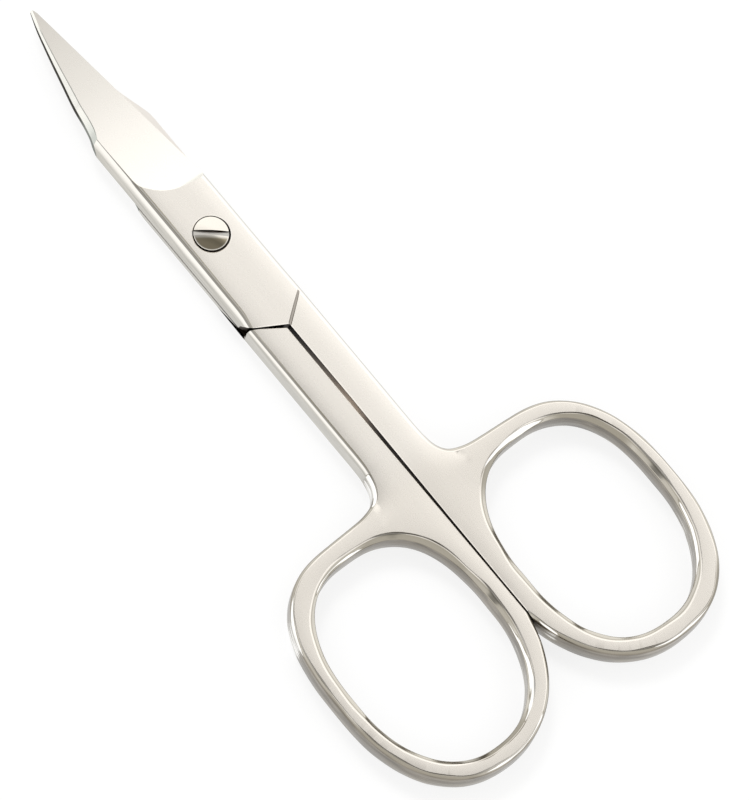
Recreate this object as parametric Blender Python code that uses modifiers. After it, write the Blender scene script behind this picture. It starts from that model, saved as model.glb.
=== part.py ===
# Manicure scissors: two forged steel halves crossing at one slotted pivot screw,
# modelled closed and lying flat.  Lengths are in metres.  The blades point to +Y,
# the screw head faces +Z, and the origin is under the middle of the outline.

import math

import bpy
import bmesh
from mathutils import Matrix, Vector

# Steel and clearances
thickness = 0.0032
lap_gap = 0.0002
fit_gap = 0.00015
rim_round = 0.0005

# Lap and blade, with reaches measured from the hinge axis
lap_half_width = 0.00357
blade_reach = 0.0300
heel_reach = 0.0076
spine_corner_reach = 0.0141
tip_width = 0.0005
edge_thickness = 0.00012
upper_tip_side = 0.0010
lower_tip_side = -0.0008
lower_tip_setback = 0.0004
spine_chamfer = 0.0007
chamfer_drop = 0.00045

# Hollow of the ground blade face
grind_rise_share = 0.22
grind_runout = 0.0050
grind_skew = math.radians(7.5)

# Shoulder where the lap ends and the full thickness begins
shoulder_reach = 0.0126
shoulder_rise = 0.0027
shoulder_gap = 0.00036
groove_width = 0.00035
groove_depth = 0.00012

# Shank
shank_half_width = 0.0036
crotch_radius = 0.0027
slot_half_width = 0.00025
slot_even_reach = 0.0220
ring_gap = 0.00024
ring_gap_reach = 0.0420

# Finger ring
ring_reach = 0.04735
ring_side = 0.01105
hole_half_width = 0.0088
hole_half_length = 0.01205
band_outer = 0.00175
band_inner = 0.00255
band_top = 0.00225
band_bottom = 0.0021
ring_top_roundness = 2.5
ring_bottom_roundness = 2.3
parting_roundness = 2.1

# Pivot screw
head_radius = 0.00175
head_rim_height = 0.00005
head_crown = 0.00015
shaft_radius = 0.0011
counterbore_gap = 0.00023
counterbore_depth = 0.0007
slot_width = 0.00055
slot_depth = 0.00045
slot_turn = math.radians(-43)
end_recess = 0.00005

# How far cutters run past the steel, and how finely curves are divided
overrun = 0.0012
ring_steps = 14
arc_steps = 5
round_steps = 40

# Points of the two blade spines, as shares of their length and of their side step
upper_spine_shares = [(0, 0), (0.10, 0.16), (0.30, 0.31), (0.66, 0.62), (0.87, 0.83), (1, 1)]
lower_spine_shares = [(0, 0), (0.08, 0.15), (0.18, 0.30), (0.42, 0.55), (0.72, 0.82), (1, 1)]

ring_bottom_reach = ring_reach + hole_half_length + band_bottom
pivot_y = (ring_bottom_reach - blade_reach) / 2
lap_floor = (thickness + lap_gap) / 2
merge_distance = rim_round / 500

# Finishes
satin_steel = (0.80, 0.79, 0.77, 1.0)
satin_roughness = 0.3
polished_steel = (0.72, 0.69, 0.66, 1.0)
polished_roughness = 0.12


def clear_scene():
    for item in list(bpy.data.objects):
        bpy.data.objects.remove(item, do_unlink=True)


def new_collection(name):
    group = bpy.data.collections.new(name)
    bpy.context.scene.collection.children.link(group)
    return group


def steel_material(name, colour, roughness):
    material = bpy.data.materials.new(name)
    material.use_nodes = True
    shader = material.node_tree.nodes["Principled BSDF"]
    shader.inputs["Base Color"].default_value = colour
    shader.inputs["Metallic"].default_value = 1.0
    shader.inputs["Roughness"].default_value = roughness
    return material


# Outlines, as lists of points in a half's own frame: hinge axis at zero, blade to +Y

def arc(centre, radius, start, end, steps):
    angles = [math.radians(start + (end - start) * i / steps) for i in range(steps + 1)]
    return [(centre[0] + radius * math.cos(a), centre[1] + radius * math.sin(a)) for a in angles]


def oval_quarter(half_width, half_length, start, roundness):
    # One quarter of a squared-off oval round the ring's centre, run clockwise from start degrees
    points = []
    for i in range(ring_steps + 1):
        angle = math.radians(start - 90 * i / ring_steps)
        across = math.cos(angle)
        along = math.sin(angle)
        x = half_width * math.copysign(abs(across) ** (2 / roundness), across)
        y = half_length * math.copysign(abs(along) ** (2 / roundness), along)
        points.append((ring_side + x, -ring_reach + y))
    return points


def smooth_through(points, steps):
    # A Catmull-Rom curve through the points
    ends = [points[0]] + points + [points[-1]]
    result = []
    for a, b, c, d in zip(ends, ends[1:], ends[2:], ends[3:]):
        for i in range(steps):
            t = i / steps
            weights = (-t + 2 * t**2 - t**3, 2 - 5 * t**2 + 3 * t**3,
                       t + 4 * t**2 - 3 * t**3, t**3 - t**2)
            result.append(tuple(sum(w * p[k] for w, p in zip(weights, (a, b, c, d))) / 2
                                for k in range(2)))
    return result + [points[-1]]


def blank_outline():
    # Everything that one half could be cut from: wide blade, lap, shank and ring
    ring_top = -ring_reach + hole_half_length + band_top
    crotch = (shank_half_width + crotch_radius, ring_top + crotch_radius)
    outer_width = hole_half_width + band_outer
    inner_width = hole_half_width + band_inner
    top_length = hole_half_length + band_top
    bottom_length = hole_half_length + band_bottom
    back = -(shoulder_reach + overrun)
    points = [(-lap_half_width, blade_reach + overrun), (lap_half_width, blade_reach + overrun)]
    points += arc(crotch, crotch_radius, 180, 270, arc_steps)
    points += oval_quarter(outer_width, top_length, 90, ring_top_roundness)
    points += oval_quarter(outer_width, bottom_length, 0, ring_bottom_roundness)[1:]
    points += oval_quarter(inner_width, bottom_length, -90, parting_roundness)[1:]
    points += [(ring_side - inner_width, back), (-lap_half_width, back)]
    return points


def hole_outline():
    points = []
    for start in (90, 0, -90, -180):
        roundness = ring_top_roundness if start in (90, -180) else ring_bottom_roundness
        points += oval_quarter(hole_half_width, hole_half_length, start, roundness)[:-1]
    return points


def shoulder_y(x, offset):
    return -shoulder_reach + offset + abs(x) * shoulder_rise / lap_half_width


def lap_end_outline():
    # What is cut away behind the lap and past the parting line
    side = lap_half_width + overrun
    end = -(ring_bottom_reach + overrun)
    slot_y = -shoulder_reach + shoulder_gap / 2 - slot_half_width * shoulder_rise / lap_half_width
    return [(-side, shoulder_y(side, shoulder_gap / 2)), (slot_half_width, slot_y),
            (slot_half_width, -slot_even_reach), (ring_gap / 2, -ring_gap_reach),
            (ring_gap / 2, end), (-side, end)]


def pocket_outline():
    # The room under this half's lap for the other half
    side = lap_half_width + overrun
    slope = shoulder_rise / lap_half_width
    back = -shoulder_reach - shoulder_gap / 2
    front = blade_reach + 2 * overrun
    return [(side, front), (side, back + side * slope), (-side, back - side * slope), (-side, front)]


def edge_point(tip_side, reach):
    # A point on the straight line of the cutting edge
    end = Vector((tip_side + tip_width / 2, blade_reach - tip_width))
    heel = Vector((lap_half_width, heel_reach))
    return heel + (end - heel) * (reach - heel_reach) / (end.y - heel.y)


def spine_points(tip_side, setback, shares):
    start = Vector((-lap_half_width, spine_corner_reach))
    end = Vector((tip_side - tip_width / 2, blade_reach - setback))
    return [(start.x + (end.x - start.x) * across, start.y + (end.y - start.y) * along)
            for along, across in shares]


def trim_outline(tip_side, setback, spine):
    # A frame round the blade: up the spine, over the tip and down the cutting edge
    side = lap_half_width + overrun
    front = blade_reach + 2 * overrun
    heel = edge_point(tip_side, heel_reach)
    edge_end = edge_point(tip_side, blade_reach - tip_width - setback)
    tip = (tip_side, blade_reach - setback)
    points = [(-side, spine_corner_reach), *smooth_through(spine, arc_steps), tip]
    points += [tuple(edge_end), tuple(heel), (side, heel.y), (side, front), (-side, front)]
    return points


def flat_solid(name, outlines, bottom, top, rounding=0.0):
    # A flat plate with the given outlines, its rims rounded over, as a welded mesh
    curve = bpy.data.curves.new(name, "CURVE")
    curve.dimensions = "2D"
    curve.fill_mode = "BOTH"
    curve.extrude = (top - bottom) / 2 - rounding
    curve.bevel_depth = rounding
    curve.bevel_resolution = 1
    curve.offset = -rounding
    for outline in outlines:
        spline = curve.splines.new("POLY")
        spline.points.add(len(outline) - 1)
        for point, place in zip(spline.points, outline):
            point.co = (place[0], place[1], 0, 1)
        spline.use_cyclic_u = True
    pattern = bpy.data.objects.new(name, curve)
    bpy.context.scene.collection.objects.link(pattern)
    mesh = bpy.data.meshes.new_from_object(pattern.evaluated_get(bpy.context.evaluated_depsgraph_get()))
    bpy.data.objects.remove(pattern)
    mesh.transform(Matrix.Translation((0, 0, (top + bottom) / 2)))
    weld(mesh)
    return bpy.data.objects.new(name, mesh)


def weld(mesh):
    work = bmesh.new()
    work.from_mesh(mesh)
    bmesh.ops.remove_doubles(work, verts=work.verts, dist=merge_distance)
    bmesh.ops.recalc_face_normals(work, faces=work.faces)
    work.to_mesh(mesh)
    work.free()


def cylinder(name, radius, bottom, top):
    mesh = bpy.data.meshes.new(name)
    work = bmesh.new()
    bmesh.ops.create_cone(work, cap_ends=True, segments=round_steps, radius1=radius,
                          radius2=radius, depth=top - bottom)
    work.to_mesh(mesh)
    work.free()
    mesh.transform(Matrix.Translation((0, 0, (top + bottom) / 2)))
    return bpy.data.objects.new(name, mesh)


def box(name, size, place):
    mesh = bpy.data.meshes.new(name)
    work = bmesh.new()
    bmesh.ops.create_cube(work, size=1)
    work.to_mesh(mesh)
    work.free()
    mesh.transform(Matrix.Diagonal((*size, 1)))
    item = bpy.data.objects.new(name, mesh)
    item.matrix_basis = place
    return item


def cut(target, cutter, cutters):
    # The cutter rides on its target, in the same frame
    cutters.objects.link(cutter)
    cutter.parent = target
    cutter.hide_render = True
    cutter.display_type = "WIRE"
    modifier = target.modifiers.new(cutter.name, "BOOLEAN")
    modifier.operation = "DIFFERENCE"
    modifier.solver = "EXACT"
    modifier.object = cutter


def grind_frame(tip_side):
    # Axes of the ground face: along the cutting edge, up its slope, and square to it
    heel = edge_point(tip_side, heel_reach)
    along = (edge_point(tip_side, blade_reach) - heel).to_3d().normalized()
    up_slope = Vector((-along.y, along.x, grind_rise_share)).normalized()
    normal = along.cross(up_slope)
    place = Vector((heel.x, heel.y, lap_floor + edge_thickness))
    return place, along, up_slope, normal


def axes_matrix(place, x_axis, y_axis, z_axis):
    matrix = Matrix((x_axis, y_axis, z_axis)).transposed().to_4x4()
    matrix.translation = place
    return matrix


def grind_cutter(name, tip_side):
    # Flat over the blade, curling up to the full thickness at the heel
    place, along, up_slope, normal = grind_frame(tip_side)
    rise = thickness - place.z
    radius = (grind_runout**2 + rise**2) / (2 * rise)
    sweep = math.degrees(math.asin(min(1.0, 2 * grind_runout / radius)))
    profile = arc((grind_runout, radius), radius, 270 - sweep, 270, 2 * arc_steps)
    ceiling = max(thickness, profile[0][1])
    profile += [(blade_reach + overrun, 0), (blade_reach + overrun, ceiling), (profile[0][0], ceiling)]
    half = 2 * lap_half_width + overrun
    cutter = flat_solid(name, [profile], -half, half)
    turn = Matrix.Rotation(grind_skew, 3, normal)
    cutter.matrix_basis = axes_matrix(place, turn @ along, normal, turn @ -up_slope)
    return cutter


def chamfer_cutter(name, tip_side, spine):
    # One slanting face along the spine, from the blade's corner to near its tip
    place, along, up_slope, normal = grind_frame(tip_side)
    corners = []
    for x, y in (spine[1], spine[-2]):
        inner = Vector((x + spine_chamfer, y, 0))
        inner.z = place.z - (inner - place).dot(Vector((normal.x, normal.y, 0))) / normal.z
        corners.append(inner)
    outer = corners[0] - Vector((spine_chamfer, 0, chamfer_drop))
    run = (corners[1] - corners[0]).normalized()
    square = run.cross(corners[0] - outer).normalized()
    if square.z < 0:
        square = -square
    inward = square.cross(run)
    middle = (corners[0] + corners[1]) / 2
    size = (2 * blade_reach, 4 * lap_half_width, thickness)
    return box(name, size, axes_matrix(middle + square * thickness / 2, run, inward, square))


def groove_cutter(name):
    # A square bar on edge, lying along the line of the shoulder on the outer face
    slope = math.atan2(shoulder_rise, lap_half_width)
    start = Vector((slot_half_width, shoulder_y(slot_half_width, 0), thickness))
    end = Vector((lap_half_width, shoulder_y(lap_half_width, 0), thickness))
    turn = Matrix.Rotation(slope, 4, "Z") @ Matrix.Rotation(math.radians(45), 4, "X")
    side = groove_width / math.sqrt(2)
    lift = Vector((0, 0, groove_width / 2 - groove_depth))
    size = ((end - start).length + 2 * overrun, side, side)
    return box(name, size, Matrix.Translation((start + end) / 2 + lift) @ turn)


def make_half(name, material, tip_side, setback, shares, parts, cutters):
    half = flat_solid(name, [blank_outline(), hole_outline()], 0, thickness, rim_round)
    half.data.materials.clear()
    half.data.materials.append(material)
    parts.objects.link(half)
    spine = spine_points(tip_side, setback, shares)
    below = -overrun
    above = thickness + overrun
    cut(half, flat_solid(name + "_lap_end", [lap_end_outline()], below, above), cutters)
    cut(half, flat_solid(name + "_pocket", [pocket_outline()], below, lap_floor), cutters)
    cut(half, flat_solid(name + "_trim", [trim_outline(tip_side, setback, spine)], below, above),
        cutters)
    cut(half, grind_cutter(name + "_grind", tip_side), cutters)
    cut(half, chamfer_cutter(name + "_chamfer", tip_side, spine), cutters)
    cut(half, groove_cutter(name + "_groove"), cutters)
    cut(half, cylinder(name + "_bore", shaft_radius + fit_gap, below, above), cutters)
    return half


def make_screw(material, parts, cutters):
    # Turned from its profile, from the crown down the outside to the flush end
    head_floor = thickness - counterbore_depth + fit_gap
    rim = thickness + head_rim_height
    crown_radius = (head_radius**2 + head_crown**2) / (2 * head_crown)
    crown_sweep = math.degrees(math.asin(head_radius / crown_radius))
    crown = arc((0, rim + head_crown - crown_radius), crown_radius, 90, 90 - crown_sweep, arc_steps)
    profile = [(0, crown[0][1])] + crown[1:]
    profile += [(head_radius, head_floor), (shaft_radius, head_floor), (shaft_radius, end_recess),
                (0, end_recess)]
    mesh = bpy.data.meshes.new("pivot_screw")
    work = bmesh.new()
    verts = [work.verts.new((x, 0, z)) for x, z in profile]
    for a, b in zip(verts, verts[1:]):
        work.edges.new((a, b))
    work.to_mesh(mesh)
    work.free()
    screw = bpy.data.objects.new("pivot_screw", mesh)
    parts.objects.link(screw)
    mesh.materials.append(material)
    turn = screw.modifiers.new("turn", "SCREW")
    turn.steps = round_steps
    turn.render_steps = round_steps
    turn.use_merge_vertices = True
    turn.merge_threshold = merge_distance
    slot_size = (2 * head_radius + overrun, slot_width, overrun)
    slot_height = rim + head_crown - slot_depth + overrun / 2
    place = Matrix.Rotation(slot_turn, 4, "Z") @ Matrix.Translation((0, 0, slot_height))
    cut(screw, box("pivot_screw_slot", slot_size, place), cutters)
    return screw


def main():
    clear_scene()
    parts = new_collection("manicure_scissors")
    cutters = new_collection("cutters")
    pivot = bpy.data.objects.new("pivot", None)
    pivot.location = (0, pivot_y, 0)
    parts.objects.link(pivot)

    upper_steel = steel_material("upper_half_steel", satin_steel, satin_roughness)
    upper = make_half("upper_half", upper_steel, upper_tip_side, 0, upper_spine_shares, parts, cutters)
    counterbore = cylinder("upper_half_counterbore", head_radius + counterbore_gap,
                           thickness - counterbore_depth, thickness + overrun)
    cut(upper, counterbore, cutters)

    # The lower half is the same forging turned over
    lower_steel = steel_material("lower_half_steel", satin_steel, satin_roughness)
    lower = make_half("lower_half", lower_steel, lower_tip_side, lower_tip_setback,
                      lower_spine_shares, parts, cutters)
    lower.rotation_euler = (0, math.pi, 0)
    lower.location = (0, 0, thickness)

    screw_steel = steel_material("pivot_screw_steel", polished_steel, polished_roughness)
    screw = make_screw(screw_steel, parts, cutters)
    for item in (upper, lower, screw):
        item.parent = pivot


main()
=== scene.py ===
# Manicure scissors lying closed on a white table, seen from above the rings' left.
# The two halves and the screw are modelled in millimetres round the hinge, then brought to metres.
import math

import bmesh
import bpy
from mathutils import Matrix, Vector, noise
from mathutils.geometry import delaunay_2d_cdt, intersect_point_line
from mathutils.kdtree import KDTree


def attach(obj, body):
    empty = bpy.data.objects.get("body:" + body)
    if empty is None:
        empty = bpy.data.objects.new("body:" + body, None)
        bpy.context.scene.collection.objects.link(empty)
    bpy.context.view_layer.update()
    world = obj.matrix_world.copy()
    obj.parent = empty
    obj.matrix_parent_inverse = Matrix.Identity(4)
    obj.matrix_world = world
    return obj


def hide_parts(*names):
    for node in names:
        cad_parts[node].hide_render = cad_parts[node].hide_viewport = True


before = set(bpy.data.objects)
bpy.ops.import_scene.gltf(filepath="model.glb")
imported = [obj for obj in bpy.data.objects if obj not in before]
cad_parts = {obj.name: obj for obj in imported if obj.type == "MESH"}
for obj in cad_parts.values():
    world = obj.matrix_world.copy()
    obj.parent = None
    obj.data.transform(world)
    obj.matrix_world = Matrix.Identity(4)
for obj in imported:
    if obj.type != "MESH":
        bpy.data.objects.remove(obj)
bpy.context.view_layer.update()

hinge = Vector((0, 15.75, 0))
steel = {"thickness": 3.2, "lapFloor": 1.65, "lapCrown": 0.12, "ringCrown": 0.05}

# Camera as fitted to the photograph: mm round the hinge, picture turned by roll, leaning by tilt
shot = {"roll": 51.6994, "tilt": 20.5, "leanTo": 112, "shiftX": -16.6960, "shiftY": -16.3118,
        "distance": 1000, "focalPixels": 9900, "pictureWidth": 749, "sensor": 36}

# What the upper and lower halves measure; the lower one is turned over when it is finished
upperForm = {
    "lapHalf": 3.68, "shankHalf": 3.72, "ringSide": 11.05, "ringReach": 47.35,
    "holeOut": 8.78, "holeIn": 8.69, "holeTop": 11.86, "holeBottom": 12.19,
    "holeShape": (2.62, 2.20, 2.42, 2.42),
    "ringOut": 10.61, "ringIn": 11.35, "ringTop": 14.01, "ringBottom": 14.36,
    "ringShape": (2.37, 2.41, 2.1),
    "crotch": [(3.72, -24.5), (3.72, -28.1), (3.78, -29.6), (4.04, -31.05), (4.85, -32.2), (6.5, -32.87),
               (8.7, -33.13)],
    "spine": [(-3.68, 13.75), (-3.56, 14.2), (-3.38, 14.75), (-3.03, 15.65), (-2.71, 17.0), (-2.36, 19.05),
              (-1.68, 21.75), (-0.98, 24.5), (-0.05, 27.8), (0.72, 29.9)],
    "tip": [(0.86, 30.02), (1.04, 29.96), (1.16, 29.72)], "edgeEnd": (1.27, 29.4), "heel": (3.68, 7.6),
    "slit": [(0.23, -22), (0.12, -38), (0.085, -46), (0.085, -66)]}
lowerForm = dict(upperForm, **{
    "lapHalf": 3.72, "holeOut": 8.74, "holeIn": 8.95, "holeTop": 12.29, "holeBottom": 11.89,
    "holeShape": (2.43, 2.26, 2.15, 2.66),
    "ringOut": 10.48, "ringTop": 14.57, "ringBottom": 13.92, "ringShape": (2.73, 2.26, 2.1),
    "crotch": [(3.72, -24.5), (3.72, -27.8), (3.82, -29.4), (4.2, -30.9), (5.15, -32.0), (6.8, -32.54),
               (8.8, -32.68)],
    "spine": [(-3.72, 13.6), (-3.66, 14.3), (-3.4, 15.3), (-2.98, 16.7), (-2.62, 18.1), (-2.2, 20.6),
              (-1.72, 23.6), (-1.3, 26.4), (-1.06, 29.5)],
    "tip": [(-0.92, 29.62), (-0.74, 29.56), (-0.62, 29.3)], "edgeEnd": (-0.52, 28.95), "heel": (3.72, 6.7),
    "slit": [(0.2, -22), (0.11, -38), (0.08, -46), (0.08, -66)]})
shoulder = {"foot": 12.5, "slope": 0.676, "gap": 0.15, "lip": 0.14,
            "ease": 0.02, "beyond": 0.4, "flare": 1.4}

# How wide and how deep the rims are dressed along the outline, and how flat the facet is (0 is round)
rims = {"blade": (1.1, 1.3, 0), "lap": (1.0, 1.2, 0), "lapInner": (0.66, 0.8, 0), "shank": (0.62, 0.6, 0),
        "ring": (0.42, 0.46, 0.3), "hole": (0.64, 0.46, 1)}
# Which rim it is along the outer side of the scissors, changing softly between these places
rimPlaces = [(-60, "ring"), (-33, "ring"), (-27, "shank"), (-11, "shank"), (-8, "lap"), (3, "blade"),
             (40, "blade")]
# How much the rims wander, from where to where down the shank it begins, and how closely, with a start
dressing = {"most": 0.22, "from": (28, 36), "width": (0.28, 3.7), "depth": (0.35, 9.1)}
# The uncut forging's left side, the middles of its round front and back, its other side's bends, and where
# the rings part again
blank = {"left": -1.2, "front": 31.5, "back": -16, "shank": (-24.5, -8), "lap": 8, "parting": -51.3}
# Faces flatter than this take the crown's normals; how far they may be off it, and how finely it is read
crown = {"flatness": 0.985, "off": 0.004, "step": 0.03}
# Edges sharper than this many degrees stay sharp
sharp = {"half": 16, "screw": 35, "bevelled": 50}
# The net of points on the faces: spacing, how much closer its rows are, room left along the rims, reach
net = {"spacing": 0.62, "flattened": 0.866, "room": 0.22, "rows": (-120, 66), "columns": (-8, 38)}
# The facet's own section: how far across and how far down, from the wall to the face
facet = [(0, 1), (0.008, 0.92), (0.032, 0.845), (0.075, 0.78), (0.14, 0.71), (0.36, 0.5), (0.58, 0.29),
         (0.72, 0.165), (0.86, 0.06), (1, 0)]
screwForm = {"headRadius": 1.82, "rimHeight": 0.05, "crown": 0.24, "headDepth": 0.55, "shaft": 1.1,
             "softening": 0.08, "slotWidth": 0.54, "slotDepth": 0.42, "slotTurn": -39, "endRecess": 0.05,
             "endEase": 0.12, "edgeEase": 0.035}
print("measures set")


# Finishes

# The lap's line tone is a painted dark reflection
tones = {"face": (0.87, 0.83, 0.77), "lapRim": (0.86, 0.83, 0.78), "lapLine": (0.5, 0.46, 0.36),
         # The lap's wall tones are painted reflection of the shaded paper, the low one darker as painted
         # shade
         "lapWall": (0.62, 0.6, 0.55), "lapWallLow": (0.34, 0.33, 0.3),
         # On the rings' rims the grey tone and the dark line tone are painted reflection, and the darker rim
         # tones and the darker tone at the rim's outer edge are painted shade
         "ringFace": (0.83, 0.786, 0.722), "ringRim": (0.56, 0.53, 0.47), "shadedRim": (0.3, 0.275, 0.225),
         # The bright flats' tone is a painted highlight on polished flats
         "rimLine": (0.34, 0.315, 0.26), "wornEdge": (0.46, 0.43, 0.37), "flats": (0.96, 0.945, 0.91),
         # The near-black tone is painted shadow and deep shade, the rim shade tone is painted shade on the
         # rings, and the recess tone is painted shade in the gaps between the halves
         "deepShade": (0.03, 0.02, 0.012), "rimShade": (0.1, 0.078, 0.048), "recess": (0.05, 0.04, 0.032),
         # Further along the slit its walls are painted darker as shade, and the inner tone is painted
         # lighter against the other blade's shade
         "slitWall": (0.85, 0.77, 0.69), "slitDark": (0.18, 0.15, 0.125), "inner": (0.86, 0.82, 0.77),
         # The blade's thin side is painted near-black as shade
         "flank": (0.1, 0.095, 0.08), "flankCorner": (0.5, 0.52, 0.48),
         # The groove tone is painted darker as shade in the scribed line
         "chamfer": (0.83, 0.82, 0.765), "chamferCorner": (0.6, 0.62, 0.575), "groove": (0.42, 0.39, 0.35),
         # The ground face's tones, from heel to point, are painted light: bright at the heel, darker towards
         # the point
         "heel": (0.88, 0.865, 0.8), "belly": (0.86, 0.84, 0.785), "blade": (0.775, 0.747, 0.703),
         "bladeEnd": (0.665, 0.64, 0.598), "point": (0.5, 0.477, 0.44),
         # The screw head's low tone and the slot's wall tone are painted shade
         "screw": (0.8, 0.76, 0.69), "screwLow": (0.3, 0.26, 0.185), "slotWall": (0.05, 0.028, 0.015),
         "slotFloor": (0.6, 0.58, 0.54)}
finish = {name: (*tone, 1) for name, tone in tones.items()}

# Each finish's roughness, then how strong its mottling, polishing lines and grain are
surface = {"satin": (0.27, 0.05, 0.05, 0.07), "ground": (0.28, 0.05, 0.02, 0.1),
           "flank": (0.26, 0.2, 0.03, 0.06), "chamfer": (0.16, 0.06, 0.04, 0.08),
           "recess": (0.36, 0.25, 0.1, 0.1), "inner": (0.3, 0.08, 0.08, 0.1),
           "groove": (0.2, 0.15, 0.03, 0.06), "screw": (0.08, 0.04, 0.03, 0.04),
           "slotWall": (0.4, 0.3, 0.03, 0.06), "slotFloor": (0.3, 0.25, 0.03, 0.06)}
polished = {"lapRim": 0.045, "ringRim": 0.13, "lapWall": 0.14, "ringWall": 0.24, "flats": 0.07}

# The grain's noises: scale, detail and roughness; its lines are drawn out along the scissors
grainNoise = {"drawnOut": (1, 0.045, 1), "lines": (5200, 3), "cloud": (700, 4, 0.6), "fine": (9000, 2)}
streakNoise = {"alongWall": (0.05, 0.05, 1), "streak": (4200, 2), "slow": (1, 1, 1.6), "drift": (210, 2)}

# Where a finish begins and where it is full, in metres from the frame's middle along the scissors
stretches = {"Lap": (-0.013, 0.006), "Ring": (-0.013, -0.018), "Shoulder": (0.0115, 0.0065),
             "Side": (-0.0165, -0.0125)}
changes = {"tip": (0.022, 0.046), "flank": (0.0345, 0.0322), "chamfer": (0.034, 0.0305),
           "paintedShade": (0.0015, 0.0032), "slitDark": (-0.007, -0.012)}

# Colours across a rim, from the face (0) to the wall (1), and along the ground face, from heel to tip,
# painting reflection and shade on the rims and light along the ground face
ramps = {"ringRim": [(0, "ringFace"), (0.22, "ringFace"), (0.33, "ringRim"), (0.42, "rimLine"),
                     (0.52, "ringRim"), (0.9, "ringRim"), (1.0, "wornEdge")],
         "lapRim": [(0, "face"), (0.1, "lapRim"), (0.8, "lapRim"), (0.97, "lapWall")],
         "ground": [(0, "heel"), (0.12, "belly"), (0.34, "blade"), (0.55, "bladeEnd"), (1, "point")]}
# Painted dark lines across a rim, reflection on the lap and shank and shade on the rings: where each rises,
# and where it falls again
rimLines = {"lapFirst": ((-0.06, -0.01), (0.07, 0.02)), "lapSecond": ((0.15, 0.2), (0.28, 0.23)),
            "shank": ((0.02, 0.1), (0.32, 0.2)), "rimShade": ((-0.02, 0.06), (0.26, 0.12))}
# The rings' side walls by height in mm: how light, and how warm; the lightness by height is painted
# reflection of the shaded paper
wallTones = [(0.35, 0.35, 0.12), (0.9, 0.31, 0.16), (1.5, 0.235, 0.24), (2.1, 0.17, 0.3), (2.6, 0.235, 0.28),
             (2.85, 0.25, 0.26)]
# How the satin's parts begin and end: how level a wall is, how far across a rim (0 at the face, 1 at the
# wall), how ragged a bright flat is, and in metres how far left and how low
satin = {"wall": (0.8, 0.45), "rim": (0.02, 0.14), "rimShading": (0.2, 0.34), "onLap": (0.6, 0.9),
         "left": (0.0, -0.001), "lowWall": (0.0007, 0.0001, 0.0, 0.6), "streaks": 0.4, "ragged": 0.7,
         "shade": ((0.1, 0.28), (0.52, 0.38)), "shadeFlat": (0.02, 0.15), "shadeRim": (0.1, 0.25),
         "bright": (0.42, 0.68), "brightRim": (0.04, 0.16), "drift": (0.0, 0.6, 0.45, 0.95)}
ringWall = {"wander": 0.0009, "streaks": (0.82, 1.22), "drift": (0.85, 1.25), "greener": 0.4}
# The painted black shadow below the lap's end, in metres: its back runs from one place and height to another
shadowWedge = {"back": (0.00955, 0.00555, 0.00084, 0.00182), "ends": ((0.0099, 0.0092), (0.0053, 0.0057)),
       "side": (-0.003, -0.0034), "edge": 0.0001}
print("finishes chosen")


# Node tools

def addNode(tree, kind, settings=None, values=None):
    node = tree.nodes.new(kind)
    for name, value in (settings or {}).items():
        setattr(node, name, value)
    for socket, value in (values or {}).items():
        if isinstance(value, bpy.types.NodeSocket):
            tree.links.new(value, node.inputs[socket])
        else:
            node.inputs[socket].default_value = value
    return node


def ranged(tree, value, low=0.0, high=1.0, first=0.0, second=1.0, kind="LINEAR"):
    values = {"Value": value, "From Min": low, "From Max": high, "To Min": first, "To Max": second}
    return addNode(tree, "ShaderNodeMapRange", {"interpolation_type": kind}, values).outputs[0]


def spread(tree, value, low, high, first=0.0, second=1.0):
    # A soft step of a value between two levels
    return ranged(tree, value, low, high, first, second, "SMOOTHSTEP")


def counted(tree, operation, *values):
    # A sum or a product of as many values as there are
    result = values[0]
    for value in values[1:]:
        result = addNode(tree, "ShaderNodeMath", {"operation": operation}, {0: result, 1: value}).outputs[0]
    return result


def within(tree, value, rise, fall):
    return counted(tree, "MULTIPLY", spread(tree, value, *rise), spread(tree, value, *fall))


def weighed(tree, *pairs):
    # The sum of values, each times its weight
    return counted(tree, "ADD", *[counted(tree, "MULTIPLY", value, weight) for value, weight in pairs])


def absolute(tree, value):
    return addNode(tree, "ShaderNodeMath", {"operation": "ABSOLUTE"}, {0: value}).outputs[0]


def vectors(tree, operation, values):
    node = addNode(tree, "ShaderNodeVectorMath", {"operation": operation}, values)
    return node.outputs["Value" if operation in ("DOT_PRODUCT", "LENGTH") else "Vector"]


def part(tree, vector, axis):
    return addNode(tree, "ShaderNodeSeparateXYZ", None, {0: vector}).outputs[axis]


def clouds(tree, place, scale, detail, roughness=0.5):
    values = {"Vector": place, "Scale": scale, "Detail": detail, "Roughness": roughness}
    return addNode(tree, "ShaderNodeTexNoise", None, values).outputs["Fac"]


def mixed(tree, share, first, second):
    values = {0: share, 6: first, 7: second}
    return addNode(tree, "ShaderNodeMix", {"data_type": "RGBA"}, values).outputs[2]


def mixedShare(tree, share, first, second):
    return addNode(tree, "ShaderNodeMix", None, {0: share, 2: first, 3: second}).outputs[0]


def blended(tree, value, stops, kind="LINEAR"):
    # A colour ramp; a stop's colour is a finish's name or the colour itself
    node = addNode(tree, "ShaderNodeValToRGB", None, {0: value})
    ramp = node.color_ramp
    ramp.interpolation = kind
    while len(ramp.elements) < len(stops):
        ramp.elements.new(0.5)
    for element, (position, colour) in zip(ramp.elements, stops):
        element.position = position
        element.color = finish.get(colour, colour)
    return node.outputs["Color"]


def attribute(tree, name):
    return addNode(tree, "ShaderNodeAttribute", {"attribute_name": name}).outputs["Fac"]


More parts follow.
